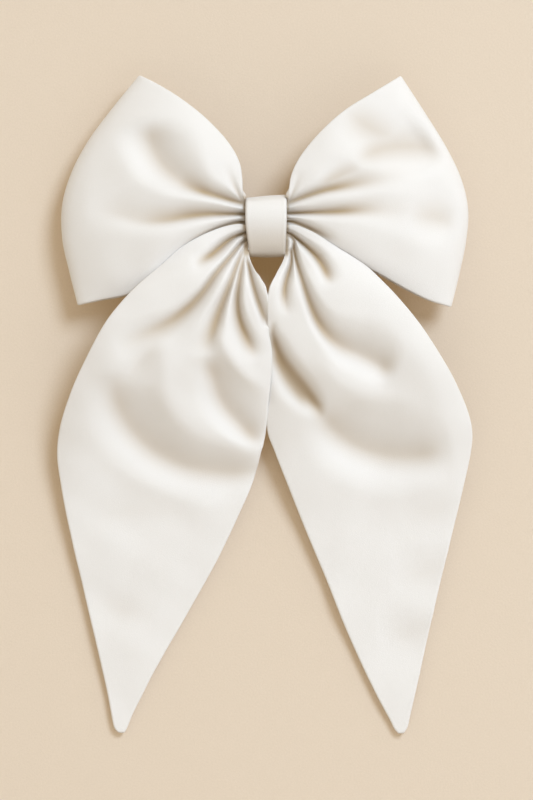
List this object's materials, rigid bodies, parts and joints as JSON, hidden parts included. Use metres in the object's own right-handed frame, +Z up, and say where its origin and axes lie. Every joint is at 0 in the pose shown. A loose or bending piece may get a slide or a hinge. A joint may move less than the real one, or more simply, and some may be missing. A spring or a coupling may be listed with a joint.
{
  "type": "hair bow",
  "caption": "Long-tailed ivory satin hair bow: open teardrop loops and pointed tails gathered under a centre band, on a hinged spring barrette.",
  "frame": {"origin": "middle between the two tie holes, on the back face of the barrette plate's flat ends, the face towards the hair", "axes": "+Z up, the tails hang towards -Z; +X to the viewer's right when the bow is seen from the front; the bow's front faces -Y and the hair side is +Y"},
  "size_m": [0.1871, 0.0334, 0.2961],
  "materials": {
    "satin": "matte duchess satin, warm ivory",
    "satin_lining": "the same satin, used as the lining",
    "interlining": "woven interlining",
    "thread": "sewing thread",
    "felt": "wool felt",
    "nickel_steel": "nickel plated",
    "spring_steel": "bright spring steel"
  },
  "bodies": {
    "bow": {"loop_left_face_ply": "satin", "loop_left_interlining": "interlining", "loop_left_lining_ply": "satin_lining", "loop_right_face_ply": "satin", "loop_right_interlining": "interlining", "loop_right_lining_ply": "satin_lining", "loop_waist": "satin", "tail_waist": "satin", "knot_band": "satin", "loop_gathering_thread": "thread", "tail_gathering_thread": "thread", "band_stitches": "thread", "backing_pad": "felt", "base_plate": "nickel_steel", "hinge_pin": "nickel_steel", "spring_rivet": "nickel_steel", "catch_clip": "nickel_steel", "catch_rivet": "nickel_steel"},
    "clasp_arm": {"clasp_arm": "nickel_steel"},
    "tension_spring": {"tension_spring": "spring_steel"},
    "upper_prong": {"catch_prong_upper": "spring_steel"},
    "lower_prong": {"catch_prong_lower": "spring_steel"},
    "left_tail": {"tail_left_face_ply": "satin", "tail_left_interlining": "interlining", "tail_left_lining_ply": "satin_lining"},
    "right_tail": {"tail_right_face_ply": "satin", "tail_right_interlining": "interlining", "tail_right_lining_ply": "satin_lining"}
  },
  "joints": [
    {"name": "clasp_hinge", "type": "hinge", "parent": "bow", "child": "clasp_arm", "pos_m": [-0.031, 0.0046, 0], "axis": [0, 0, 1], "range_deg": [0, 75]},
    {"name": "spring_lift", "type": "hinge", "parent": "bow", "child": "tension_spring", "pos_m": [-0.0286, 0, 0], "axis": [0, 0, 1], "range_deg": [0, 3]},
    {"name": "upper_prong_squeeze", "type": "hinge", "parent": "bow", "child": "upper_prong", "pos_m": [0.0315, 0.0003, 0.00185], "axis": [-1, 0, 0], "range_deg": [0, 5]},
    {"name": "lower_prong_squeeze", "type": "hinge", "parent": "bow", "child": "lower_prong", "pos_m": [0.0315, 0.0003, -0.00185], "axis": [1, 0, 0], "range_deg": [0, 5]},
    {"name": "left_tail_lift", "type": "hinge", "parent": "bow", "child": "left_tail", "pos_m": [0, -0.0205, -0.006], "axis": [-1, 0, 0], "range_deg": [0, 60]},
    {"name": "right_tail_lift", "type": "hinge", "parent": "bow", "child": "right_tail", "pos_m": [0, -0.0205, -0.006], "axis": [-1, 0, 0], "range_deg": [0, 60]}
  ],
  "couplings": [
    {"joint": "spring_lift", "follows": "clasp_hinge", "ratio": 0.04}
  ]
}
